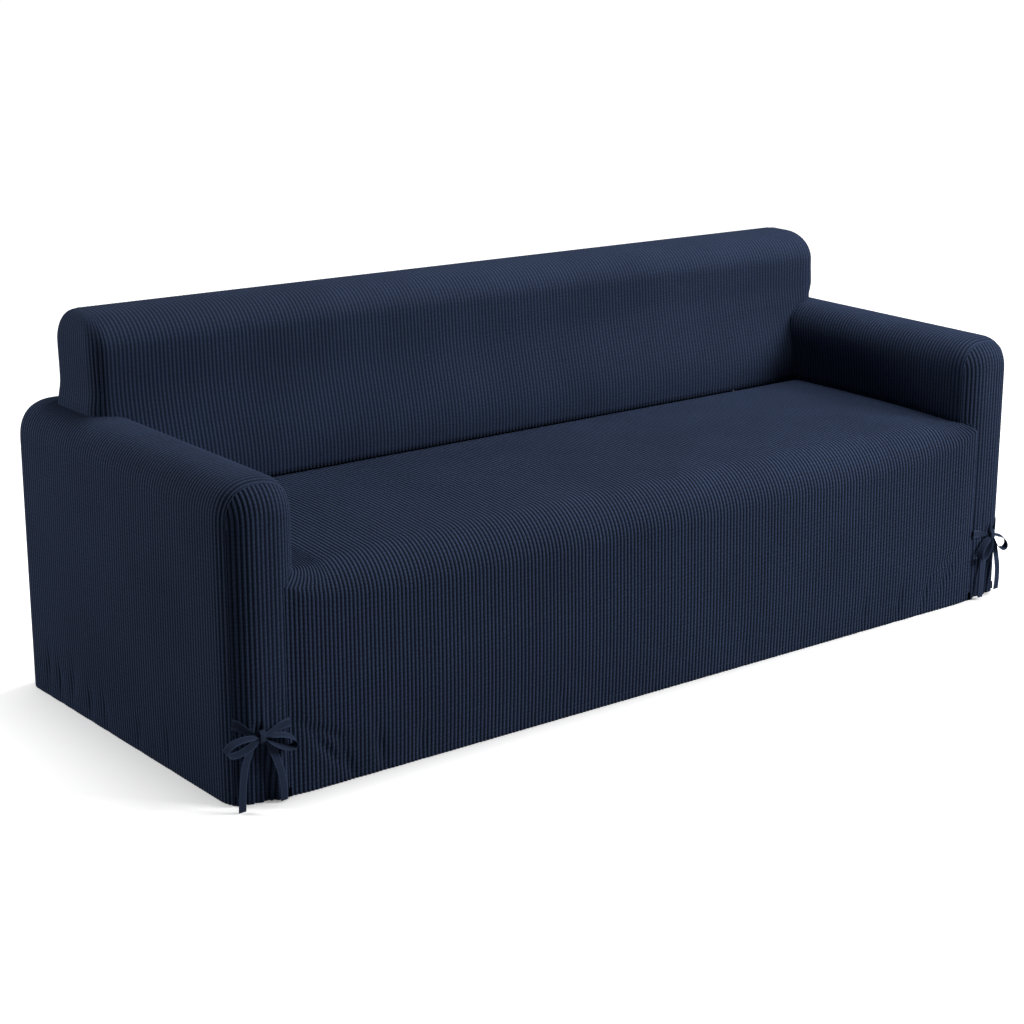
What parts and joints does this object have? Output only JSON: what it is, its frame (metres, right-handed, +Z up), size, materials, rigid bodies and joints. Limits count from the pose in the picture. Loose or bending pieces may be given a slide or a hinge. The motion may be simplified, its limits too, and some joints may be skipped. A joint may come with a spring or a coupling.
{
  "type": "sofa cover",
  "caption": "Fitted ribbed stretch cover for a wide sofa, hollow and open underneath, with rounded arms, a rolled seat front and a tied bow at each front corner.",
  "frame": {"origin": "on the floor, under the middle of the cover's box", "axes": "+X along the cover's length, to the right as it is looked at from the front; +Y from the front to the back; +Z up"},
  "size_m": [2.2158, 0.9036, 0.8397],
  "materials": {
    "cover_cloth": "matt ribbed stretch knit",
    "tie_cloth": "matt flat strip of the same cloth"
  },
  "bodies": {
    "root": {"seat_and_skirt": "cover_cloth", "inside_back": "cover_cloth", "outside_back": "cover_cloth", "arm_left": "cover_cloth", "arm_right": "cover_cloth", "arm_front_left": "cover_cloth", "arm_front_right": "cover_cloth", "tie_left_outer": "tie_cloth", "tie_left_inner": "tie_cloth", "tie_right_inner": "tie_cloth", "tie_right_outer": "tie_cloth"}
  },
  "joints": []
}
